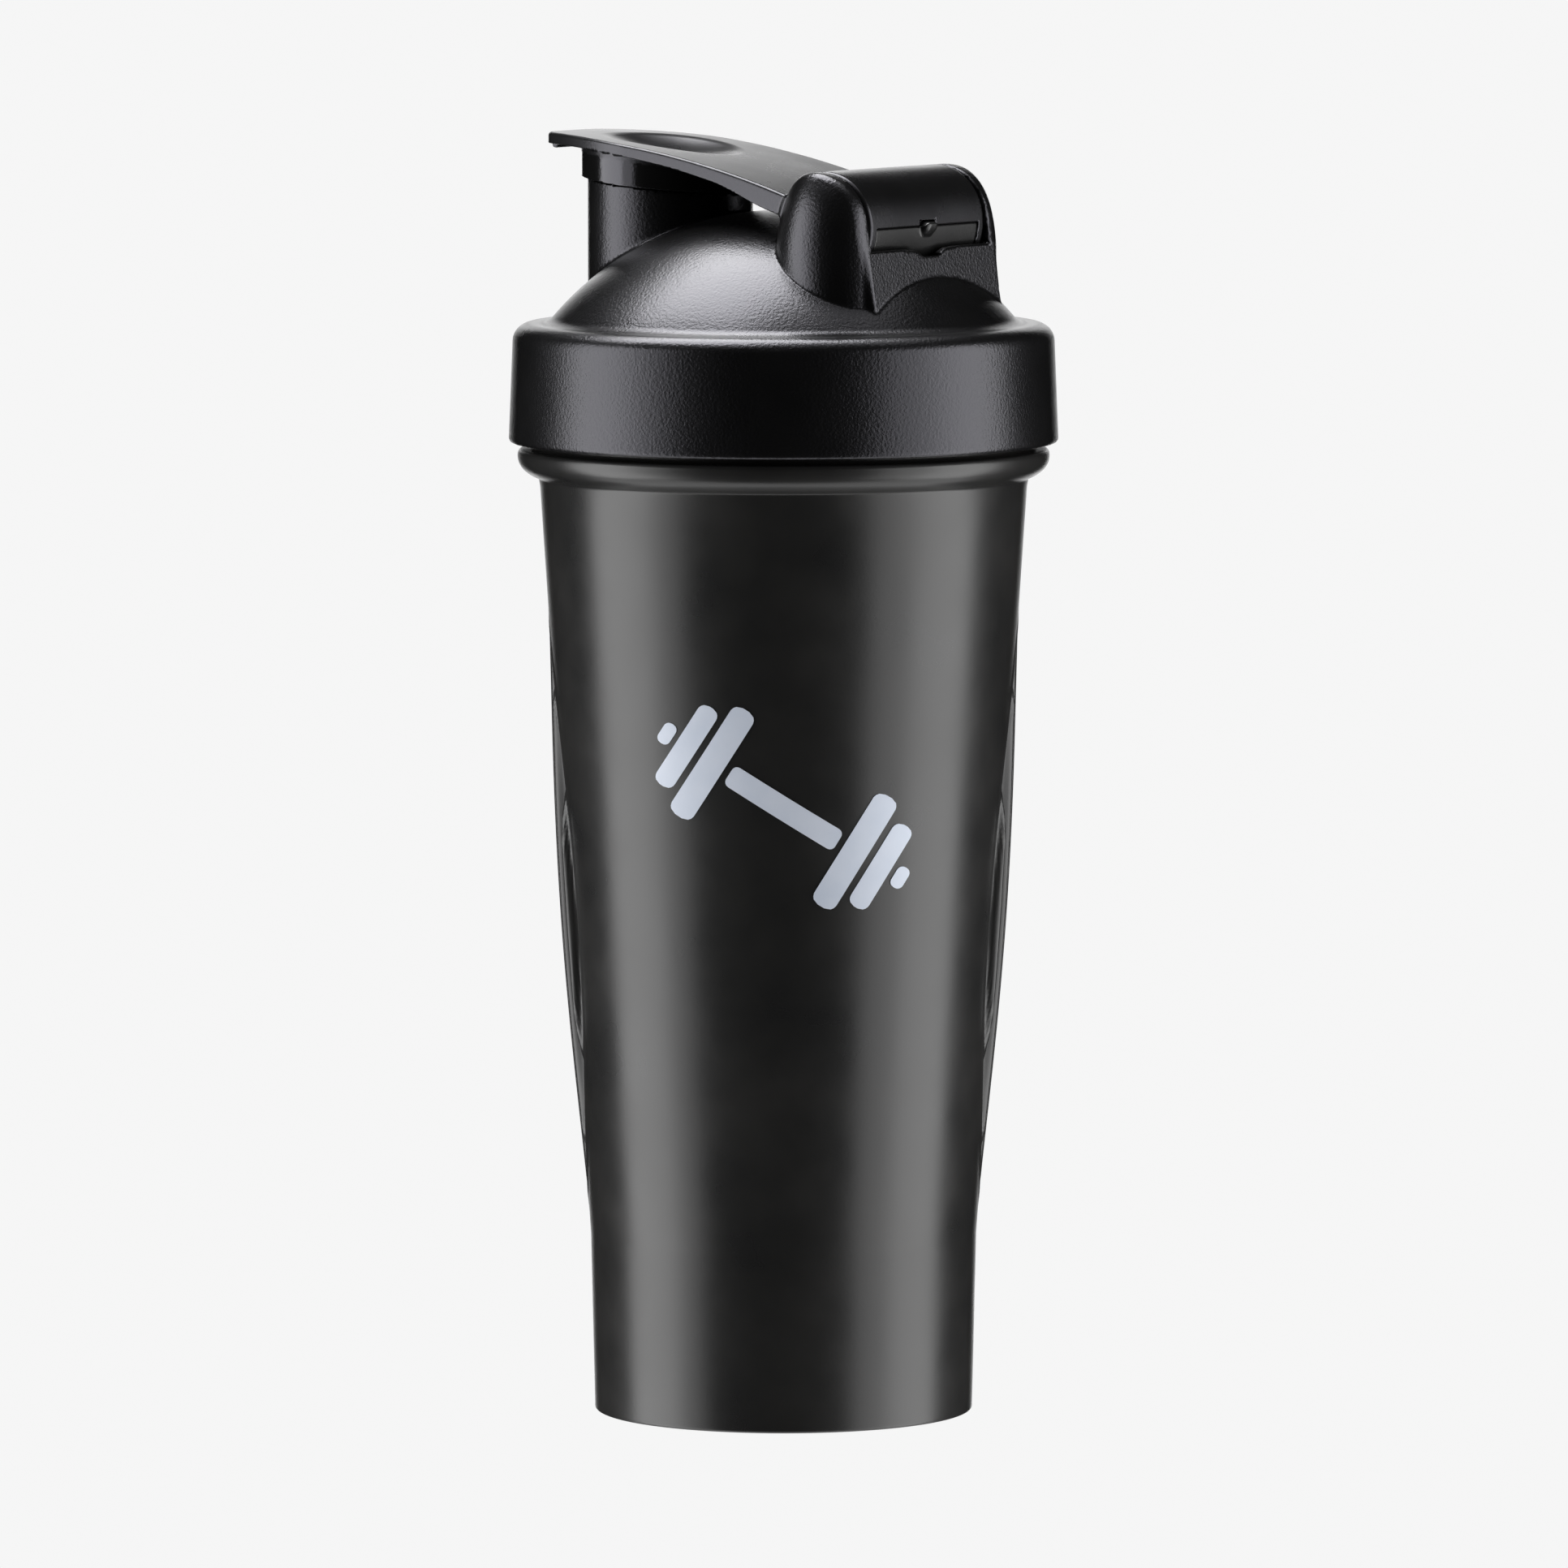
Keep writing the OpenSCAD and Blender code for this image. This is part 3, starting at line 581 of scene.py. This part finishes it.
def lid_field(x, y, z):
    """The lid: collar, dome, hinge housing and spout, hollowed out and bored for the hinge."""
    r = np.hypot(x, y)
    ball = np.sqrt(x * x + y * y + (z - DOME_Z) ** 2)
    side = r - (COLLAR_R - COLLAR_TAPER * (z - COLLAR_Z))
    collar = keep(keep(side, z - COLLAR_TOP_Z, 3.0), COLLAR_Z - z, 0.8)
    solid = join(collar, np.maximum(ball - DOME_R, CEILING_Z - z), 1.0)
    solid = join(solid, housing_field(x, y, z), 0.3)
    solid = join(solid, spout_field(x, y, z), 0.6)
    hollow = np.maximum(np.maximum(ball - DOME_R + LID_WALL, CEILING_Z - z), r - PLUG_R + PLUG_WALL)
    solid = cut(solid, hollow, 0.4)
    solid = cut(solid, np.maximum(r - BORE_R, z - CEILING_Z), 0.5)
    trough = np.maximum(about_hinge(x, z, POCKET_R + TROUGH_WALL), np.abs(y) - SLOT_HALF - TROUGH_END)
    solid = join(solid, np.maximum(trough, ball - DOME_R + TROUGH_SINK), 0.5)
    solid = cut(solid, np.maximum(about_hinge(x, z, POCKET_R), np.abs(y) - SLOT_HALF), 0.4)
    nub_way = about_hinge(x, z, BARREL_R + NUB_RISE + NUB_PLAY)
    nub_way = np.maximum(nub_way, np.abs(y) - NUB_HALF - 2 * NUB_PLAY)
    solid = cut(solid, nub_way, 0.3)
    socket = np.maximum(about_hinge(x, z, PIN_R + SOCKET_PLAY), np.abs(y) - SOCKET_HALF)
    solid = cut(solid, socket, 0.2)
    bore = np.maximum(np.hypot(x - SPOUT_X, y) - SPOUT_BORE_R, DOME_Z - z)
    solid = cut(solid, bore, 0.5)
    plug = np.abs(r - PLUG_R + PLUG_WALL / 2) - PLUG_WALL / 2
    plug = np.maximum(plug, np.maximum(PLUG_Z - z, z - CEILING_Z - 1))
    solid = join(solid, plug, 0.4)
    return np.minimum(solid, lid_thread(r, np.arctan2(y, x) + LID_TURN, z))


def make_lid():
    """The lid, with its thread."""
    low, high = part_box("lid")
    half = COLLAR_R + MARGIN
    return skin("lid_shell", lid_field, (-half, -half, low.z / MM - MARGIN),
                (half, half, high.z / MM + MARGIN), LID_STEP, LID_TURN)


# ---------------------------------------------------------------- flip cap

TIP_X = 45.8
TIP_Z = 220.4
ARCH_R = 190.0
ARM_T = 1.8
ARM_ROOT_X = HINGE_X + 7
ARM_HALF = 16.0
ARM_TIP_HALF = 7.5
ARM_WIDE_X = 22.0
ARM_WIDEN = 0.03
ARM_NARROW_POWER = 1.6
ARM_TIP_LEAN = 0.22
ARM_CORNER = 3.0
ROOT_T = 1.5
ROOT_RAIL = 1.3
RAIL_W = 1.6
RAIL_DROP = 0.6
RAIL_POWER = 3
RAIL_FULL_X = 5.0
DIMPLE_X = SPOUT_X - 0.5
DIMPLE_DEPTH = 2.2
DIMPLE_HALF_L = 14.0
DIMPLE_HALF_W = 10.0
SKIRT_R = 15.4
SKIRT_WALL = 1.2
SKIRT_TOP_T = 0.8
CAP_PLUG_R = SPOUT_BORE_R - 1.1
CAP_PLUG_TAPER = 0.15
CAP_PLUG_END_Z = 210.4
LIP_R = 0.8
LIP_DROP = 0.3
LIP_HALF = ARM_TIP_HALF - 2.6
CAP_PIN_PLAY = 0.12
CAP_BOX_HALF = 19.0


def arm_depth(x, z):
    """Depth below the arm's arched top, negative above it."""
    return ARCH_R - np.hypot(x - TIP_X, z - TIP_Z + ARCH_R)


def arm_field(x, y, z):
    """The arm: arched on top, narrow at the tip, with a rail along each edge."""
    narrow = np.clip((x - ARM_WIDE_X) / (TIP_X - ARM_WIDE_X), 0, 1) ** ARM_NARROW_POWER
    half = ARM_HALF - (ARM_HALF - ARM_TIP_HALF) * narrow + np.maximum(ARM_WIDE_X - x, 0) * ARM_WIDEN
    lean = 1 - ARM_TIP_LEAN * smooth(x, ARM_WIDE_X, TIP_X)
    plan = keep((np.abs(y) - half) * lean, x - TIP_X, ARM_CORNER)
    depth = arm_depth(x, z)
    drop = RAIL_DROP * np.clip((TIP_X - x) / (TIP_X - RAIL_FULL_X), 0, 1) ** RAIL_POWER
    root = ROOT_T * smooth(-x, -4, 8)
    rail = cut(depth - ARM_T - drop - ROOT_RAIL * smooth(-x, -5, 9), plan + RAIL_W, 0.4)
    under = join(rail, depth - ARM_T - root, 0.6)
    arm = keep(keep(plan, -depth, 0.6), under, 0.3)
    return np.maximum(arm, ARM_ROOT_X - x)


def dimple_field(x, y, z):
    """A slice of a large ball, squeezed across the arm and square to its top."""
    ball_r = (DIMPLE_HALF_L ** 2 + DIMPLE_DEPTH ** 2) / (2 * DIMPLE_DEPTH)
    lean = math.asin((TIP_X - DIMPLE_X) / ARCH_R)
    up = ball_r - DIMPLE_DEPTH
    middle_x = DIMPLE_X - up * math.sin(lean)
    middle_z = TIP_Z - ARCH_R + ARCH_R * math.cos(lean) + up * math.cos(lean)
    squeeze = DIMPLE_HALF_L / DIMPLE_HALF_W
    return np.sqrt((x - middle_x) ** 2 + (y * squeeze) ** 2 + (z - middle_z) ** 2) - ball_r


def barrel_field(x, y, z):
    """The upper half of the hinge barrel, with its whole end discs and the notch for the nub."""
    side = np.abs(y)
    inner_half = BARREL_HALF - END_DISC
    barrel = keep(about_hinge(x, z, BARREL_R), side - BARREL_HALF, 0.8)
    cavity = np.maximum(about_hinge(x, z, BARREL_R - BARREL_WALL), side - inner_half)
    barrel = cut(barrel, cavity, 0.2)
    barrel = cut(barrel, np.maximum(z - HINGE_Z, side - inner_half), 0.15)
    notch = np.maximum(np.maximum(side - NUB_HALF - 0.2, z - HINGE_Z - NUB_TOP - NUB_PLAY), x - HINGE_X)
    return cut(barrel, notch, 0.1)


def cap_field(x, y, z):
    """The flip cap: arm, skirt, plug, lip and barrel."""
    side = np.abs(y)
    out = np.hypot(x - SPOUT_X, y)
    depth = arm_depth(x, z)
    skirt = np.maximum(np.maximum(out - SKIRT_R, -over(x, z, SKIRT_EDGE_Z)), SKIRT_TOP_T - depth)
    skirt = keep(skirt, -over(x, z, SKIRT_EDGE_Z), 0.2)
    well = np.maximum(out - SKIRT_R + SKIRT_WALL, over(x, z, LAND_Z))
    plug_r = CAP_PLUG_R - CAP_PLUG_TAPER * np.maximum(LAND_Z - z, 0)
    plug = np.maximum(np.maximum(out - plug_r, CAP_PLUG_END_Z - z), z - LAND_Z - 1)
    cap = join(arm_field(x, y, z), cut(skirt, well, 0.25), 0.12)
    cap = join(cap, plug, 0.3)
    cap = cut(cap, dimple_field(x, y, z), 0.35)
    lip = np.hypot(x - TIP_X + LIP_R, z - TIP_Z + ARM_T + LIP_DROP) - LIP_R
    cap = join(cap, keep(lip, side - LIP_HALF, 0.2), 0.12)
    inner = np.maximum(about_hinge(x, z, BARREL_R - 1), side - BARREL_HALF + END_DISC)
    cap = join(cut(cap, inner, 0.1), barrel_field(x, y, z), 0.8)
    return cut(cap, np.maximum(about_hinge(x, z, PIN_R + CAP_PIN_PLAY), side - BARREL_HALF - 1), 0.2)


def make_cap():
    """The cap, with its skirt marked as polished."""
    low = (HINGE_X - BARREL_R - MARGIN, -CAP_BOX_HALF, HINGE_Z - BARREL_R - MARGIN)
    high = (TIP_X + MARGIN, CAP_BOX_HALF, TIP_Z + MARGIN)
    cap = skin("flip_cap_shell", cap_field, low, high, CAP_STEP, LID_TURN)
    points = np.empty(len(cap.data.vertices) * 3)
    cap.data.vertices.foreach_get("co", points)
    points = points.reshape(-1, 3) / MM
    c, s = math.cos(LID_TURN), math.sin(LID_TURN)
    x, y = points[:, 0] * c + points[:, 1] * s, points[:, 1] * c - points[:, 0] * s
    out = np.hypot(x - SPOUT_X, y)
    on_skirt = (np.abs(out - SKIRT_R) < 0.35) & (arm_depth(x, points[:, 2]) > ARM_T + 1)
    polish = cap.data.attributes.new("polish", "FLOAT", "POINT")
    polish.data.foreach_set("value", on_skirt.astype(float))
    return cap


def clip_field(x, y, z):
    """The lower half of the barrel, with the nub that sits in the notch."""
    side = np.abs(y)
    clip_half = BARREL_HALF - END_DISC - CLIP_END_GAP
    outer = about_hinge(x, z, BARREL_R - CLIP_INSET)
    shell = cut(outer, about_hinge(x, z, BARREL_R - BARREL_WALL), 0.2)
    shell = keep(keep(shell, z - HINGE_Z + SPLIT_GAP, 0.15), side - clip_half, 0.2)
    boss = np.hypot(x - HINGE_X + BARREL_R + NUB_RISE - NUB_R, z - HINGE_Z - NUB_TOP) - NUB_R
    boss = keep(keep(boss, z - HINGE_Z - NUB_TOP, 0.5), side - NUB_HALF, 1.4)
    return join(shell, cut(boss, about_hinge(x, z, BARREL_R - 1), 0.1), 0.3)


def make_clip():
    """The clip, in the barrel's lower half."""
    low = (HINGE_X - BARREL_R - 2, -BARREL_HALF, HINGE_Z - BARREL_R - MARGIN)
    high = (HINGE_X + BARREL_R + 2, BARREL_HALF, HINGE_Z + 2.5)
    return skin("hinge_clip_shell", clip_field, low, high, CLIP_STEP, LID_TURN)


# ---------------------------------------------------------------- whisk ball

WIRE_R = 1.0
BALL_TURNS = 5.5
POLE_ANGLE = 14.0
BALL_TURNED = math.radians(-60)
WIRE_STEPS = 400
WIRE_SIDES = 14


def make_ball():
    """One wire wound round a ball, from close to its lowest point to close to its highest."""
    low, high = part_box("whisk_ball")
    centre = np.array([(low.x + high.x) / 2, (low.y + high.y) / 2, (low.z + high.z) / 2]) / MM
    wind_r = (high.z - low.z) / 2 / MM - WIRE_R
    wind_r /= math.cos(math.radians(POLE_ANGLE))
    t = np.linspace(0, 1, WIRE_STEPS)
    polar = np.radians(POLE_ANGLE + (180 - 2 * POLE_ANGLE) * t)
    turn = BALL_TURNED + 2 * math.pi * BALL_TURNS * t
    path = np.stack([np.sin(polar) * np.cos(turn), np.sin(polar) * np.sin(turn), -np.cos(polar)], 1)
    return tube("whisk_wire", centre + wind_r * path, WIRE_R, WIRE_SIDES)


# ---------------------------------------------------------------- materials

def shader(name):
    """A new material, its nodes, its links and its shader."""
    material = bpy.data.materials.new(name)
    material.use_nodes = True
    nodes = material.node_tree.nodes
    links = material.node_tree.links
    return material, nodes, links, nodes["Principled BSDF"]


def noise(nodes, links, size, detail):
    """A noise whose features are about size millimetres wide."""
    place = nodes.new("ShaderNodeTexCoord")
    scale = nodes.new("ShaderNodeMapping")
    scale.inputs["Scale"].default_value = [1 / (size * MM)] * 3
    texture = nodes.new("ShaderNodeTexNoise")
    texture.inputs["Scale"].default_value = 1.0
    texture.inputs["Detail"].default_value = detail
    links.new(place.outputs["Object"], scale.inputs["Vector"])
    links.new(scale.outputs["Vector"], texture.inputs["Vector"])
    return texture.outputs["Fac"]


def spread(nodes, links, source, low, high):
    """source, from 0.3 to 0.7, stretched to low to high."""
    stretch = nodes.new("ShaderNodeMapRange")
    stretch.inputs["From Min"].default_value = 0.3
    stretch.inputs["From Max"].default_value = 0.7
    stretch.inputs["To Min"].default_value = low
    stretch.inputs["To Max"].default_value = high
    links.new(source, stretch.inputs["Value"])
    return stretch.outputs["Result"]


def tint(nodes, links, source, dark, light):
    """A colour from dark, where source is 0, to light, where it is 1."""
    mix = nodes.new("ShaderNodeMix")
    mix.data_type = "RGBA"
    mix.inputs["A"].default_value = (*dark, 1)
    mix.inputs["B"].default_value = (*light, 1)
    links.new(source, mix.inputs["Factor"])
    return mix.outputs["Result"]


def bump(nodes, links, source, height, under=None):
    """A relief of height millimetres, laid over the relief under."""
    node = nodes.new("ShaderNodeBump")
    node.inputs["Distance"].default_value = height * MM
    links.new(source, node.inputs["Height"])
    if under is not None:
        links.new(under, node.inputs["Normal"])
    return node.outputs["Normal"]


def moulded_plastic(name, dark, light, rough, grain, grain_height):
    """Moulded plastic: spark-eroded grain, with slow changes of tone and gloss."""
    material, nodes, links, base = shader(name)
    slow = noise(nodes, links, 14, 3)
    links.new(tint(nodes, links, spread(nodes, links, slow, 0, 1), dark, light), base.inputs["Base Color"])
    links.new(spread(nodes, links, slow, rough[0], rough[1]), base.inputs["Roughness"])
    coarse = bump(nodes, links, noise(nodes, links, grain, 1), grain_height)
    fine = bump(nodes, links, noise(nodes, links, grain * 0.4, 1), grain_height * 0.35, coarse)
    links.new(fine, base.inputs["Normal"])
    base.inputs["IOR"].default_value = 1.5
    return material


def polish_where_marked(material, rough):
    """Another roughness where the mesh's polish attribute is 1."""
    nodes, links = material.node_tree.nodes, material.node_tree.links
    base = nodes["Principled BSDF"]
    mark = nodes.new("ShaderNodeAttribute")
    mark.attribute_name = "polish"
    mix = nodes.new("ShaderNodeMix")
    mix.data_type = "FLOAT"
    links.new(mark.outputs["Fac"], mix.inputs["Factor"])
    links.new(base.inputs["Roughness"].links[0].from_socket, mix.inputs["A"])
    mix.inputs["B"].default_value = rough
    links.new(mix.outputs["Result"], base.inputs["Roughness"])


def smoked_plastic():
    """The cup: smoked and nearly black, with a finer grain than the lid."""
    return moulded_plastic("smoked_plastic", (0.012, 0.012, 0.012), (0.017, 0.0165, 0.016),
                           (0.27, 0.33), 0.55, 0.006)


def rubber():
    """Soft grey rubber, nearly matt."""
    material = moulded_plastic("seal_rubber", (0.05, 0.05, 0.055), (0.085, 0.085, 0.09),
                               (0.55, 0.75), 0.3, 0.01)
    material.node_tree.nodes["Principled BSDF"].inputs["IOR"].default_value = 1.45
    return material


def steel(name):
    """Drawn wire: a fine rough surface and slight stains."""
    material, nodes, links, base = shader(name)
    drawn = noise(nodes, links, 0.25, 3)
    stain = noise(nodes, links, 6, 2)
    colour = tint(nodes, links, spread(nodes, links, stain, 0, 1), (0.52, 0.52, 0.53), (0.66, 0.66, 0.66))
    links.new(colour, base.inputs["Base Color"])
    links.new(spread(nodes, links, drawn, 0.16, 0.34), base.inputs["Roughness"])
    links.new(bump(nodes, links, drawn, 0.004), base.inputs["Normal"])
    base.inputs["Metallic"].default_value = 1.0
    return material


def print_ink():
    """Screen-printed ink: a little uneven in tone and gloss, with a faint relief."""
    material, nodes, links, base = shader("print_ink")
    cloud = noise(nodes, links, 7, 3)
    colour = tint(nodes, links, spread(nodes, links, cloud, 0, 1), (0.60, 0.66, 0.77), (0.67, 0.72, 0.82))
    links.new(colour, base.inputs["Base Color"])
    links.new(spread(nodes, links, cloud, 0.36, 0.46), base.inputs["Roughness"])
    links.new(bump(nodes, links, noise(nodes, links, 0.4, 1), 0.004), base.inputs["Normal"])
    return material


# ---------------------------------------------------------------- pieces

def dress(piece, body, node, material):
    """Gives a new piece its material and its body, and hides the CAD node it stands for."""
    piece.data.materials.clear()
    piece.data.materials.append(material)
    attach(piece, body)
    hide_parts(node)


def finish_node(node, material):
    """A CAD node that stays, with a better material."""
    mesh = frame["nodes"][node].data
    mesh.materials.clear()
    mesh.materials.append(material)


BLUISH = (0.91, 0.90, 1, 1)

cup_plastic = smoked_plastic()
lid_plastic = moulded_plastic("lid_plastic", (0.0025, 0.0025, 0.0025), (0.004, 0.004, 0.004),
                              (0.27, 0.29), 0.5, 0.055)
cap_plastic = moulded_plastic("cap_plastic", (0.004, 0.004, 0.004), (0.006, 0.006, 0.006),
                              (0.25, 0.30), 0.45, 0.014)
polish_where_marked(cap_plastic, 0.13)
for glossy in (lid_plastic, cap_plastic):
    glossy.node_tree.nodes["Principled BSDF"].inputs["Specular Tint"].default_value = BLUISH
clip_plastic = moulded_plastic("clip_plastic", (0.005, 0.005, 0.005), (0.008, 0.008, 0.008),
                               (0.28, 0.34), 0.45, 0.014)
rubber_material = rubber()

dress(make_cup(), "cup", "cup", cup_plastic)
dress(make_print(), "cup", "front_print", print_ink())
dress(make_lid(), "lid", "lid", lid_plastic)
dress(make_cap(), "flip_cap", "flip_cap", cap_plastic)
dress(make_clip(), "flip_cap", "hinge_clip", clip_plastic)
dress(make_ball(), "ball", "whisk_ball", steel("wire_steel"))
finish_node("lid_seal_ring", rubber_material)
finish_node("spout_seal", rubber_material)
finish_node("hinge_pin", steel("pin_steel"))


# ---------------------------------------------------------------- stage, lights, camera

BACKDROP = 0.92
AIM = Vector((0, 0, 0.1083))
CAMERA_PLACE = Vector((0, -2.267, 0.3226))
CAMERA_LENS = 302.6
CAMERA_SHIFT = (0.00026, 0.00104)


def make_stage():
    """A pale floor that glows evenly, so that it meets the backdrop without an edge."""
    bpy.ops.mesh.primitive_circle_add(vertices=96, radius=12, fill_type="NGON")
    floor = bpy.context.object
    floor.name = "floor"
    material = bpy.data.materials.new("floor")
    material.use_nodes = True
    nodes, links = material.node_tree.nodes, material.node_tree.links
    nodes.clear()
    glow = nodes.new("ShaderNodeEmission")
    glow.inputs["Color"].default_value = (BACKDROP, BACKDROP, BACKDROP, 1)
    output = nodes.new("ShaderNodeOutputMaterial")
    links.new(glow.outputs["Emission"], output.inputs["Surface"])
    floor.data.materials.append(material)
    floor.visible_glossy = False
    floor.visible_diffuse = False
    floor.visible_shadow = False
    world = bpy.data.worlds.new("backdrop")
    world.use_nodes = True
    world.node_tree.nodes["Background"].inputs["Color"].default_value = (BACKDROP,) * 3 + (1,)
    world.cycles_visibility.glossy = False
    world.cycles_visibility.diffuse = False
    bpy.context.scene.world = world


def softbox(name, azimuth, elevation, distance, width, height, radiance):
    """A rectangular light facing the bottle. Azimuth 0 is at the camera, and 90 to the right."""
    a, e = math.radians(azimuth), math.radians(elevation)
    out = Vector((math.sin(a) * math.cos(e), -math.cos(a) * math.cos(e), math.sin(e)))
    light = bpy.data.lights.new(name, "AREA")
    light.shape = "RECTANGLE"
    light.size, light.size_y = width, height
    light.energy = radiance * math.pi * width * height
    lamp = bpy.data.objects.new(name, light)
    lamp.location = AIM + out * distance
    lamp.rotation_mode = "QUATERNION"
    lamp.rotation_quaternion = out.to_track_quat("Z", "Y")
    lamp.visible_camera = False
    bpy.context.scene.collection.objects.link(lamp)


def make_lights():
    """Tall boxes at both sides, a wall behind, two boxes above and the light table's glow below."""
    softbox("left_key", -84, -4, 1.0, 0.66, 1.5, 4.2)
    softbox("left_soft", -58, -4, 1.0, 0.28, 1.5, 1.8)
    softbox("right_key", 84, -4, 1.0, 0.66, 1.5, 3.8)
    softbox("right_soft", 54, -4, 1.0, 0.42, 1.5, 2.0)
    softbox("back_wall", 180, 3, 1.6, 0.9, 1.2, 1.6)
    softbox("top", 222, 71, 1.2, 0.92, 0.85, 9.5)
    softbox("top_soft", 200, 84, 1.3, 1.5, 1.2, 0.9)
    softbox("table", 0, -90, 0.36, 0.9, 0.42, 1.6)


def make_camera():
    """A long lens in front of the bottle, a little above it."""
    camera = bpy.data.cameras.new("camera")
    camera.sensor_width = 36.0
    camera.lens = CAMERA_LENS
    camera.shift_x, camera.shift_y = CAMERA_SHIFT
    view = bpy.data.objects.new("camera", camera)
    view.location = CAMERA_PLACE
    view.rotation_mode = "QUATERNION"
    view.rotation_quaternion = (AIM - view.location).to_track_quat("-Z", "Y")
    bpy.context.scene.collection.objects.link(view)
    bpy.context.scene.camera = view


make_stage()
make_lights()
make_camera()
bpy.context.scene.view_settings.view_transform = "Standard"
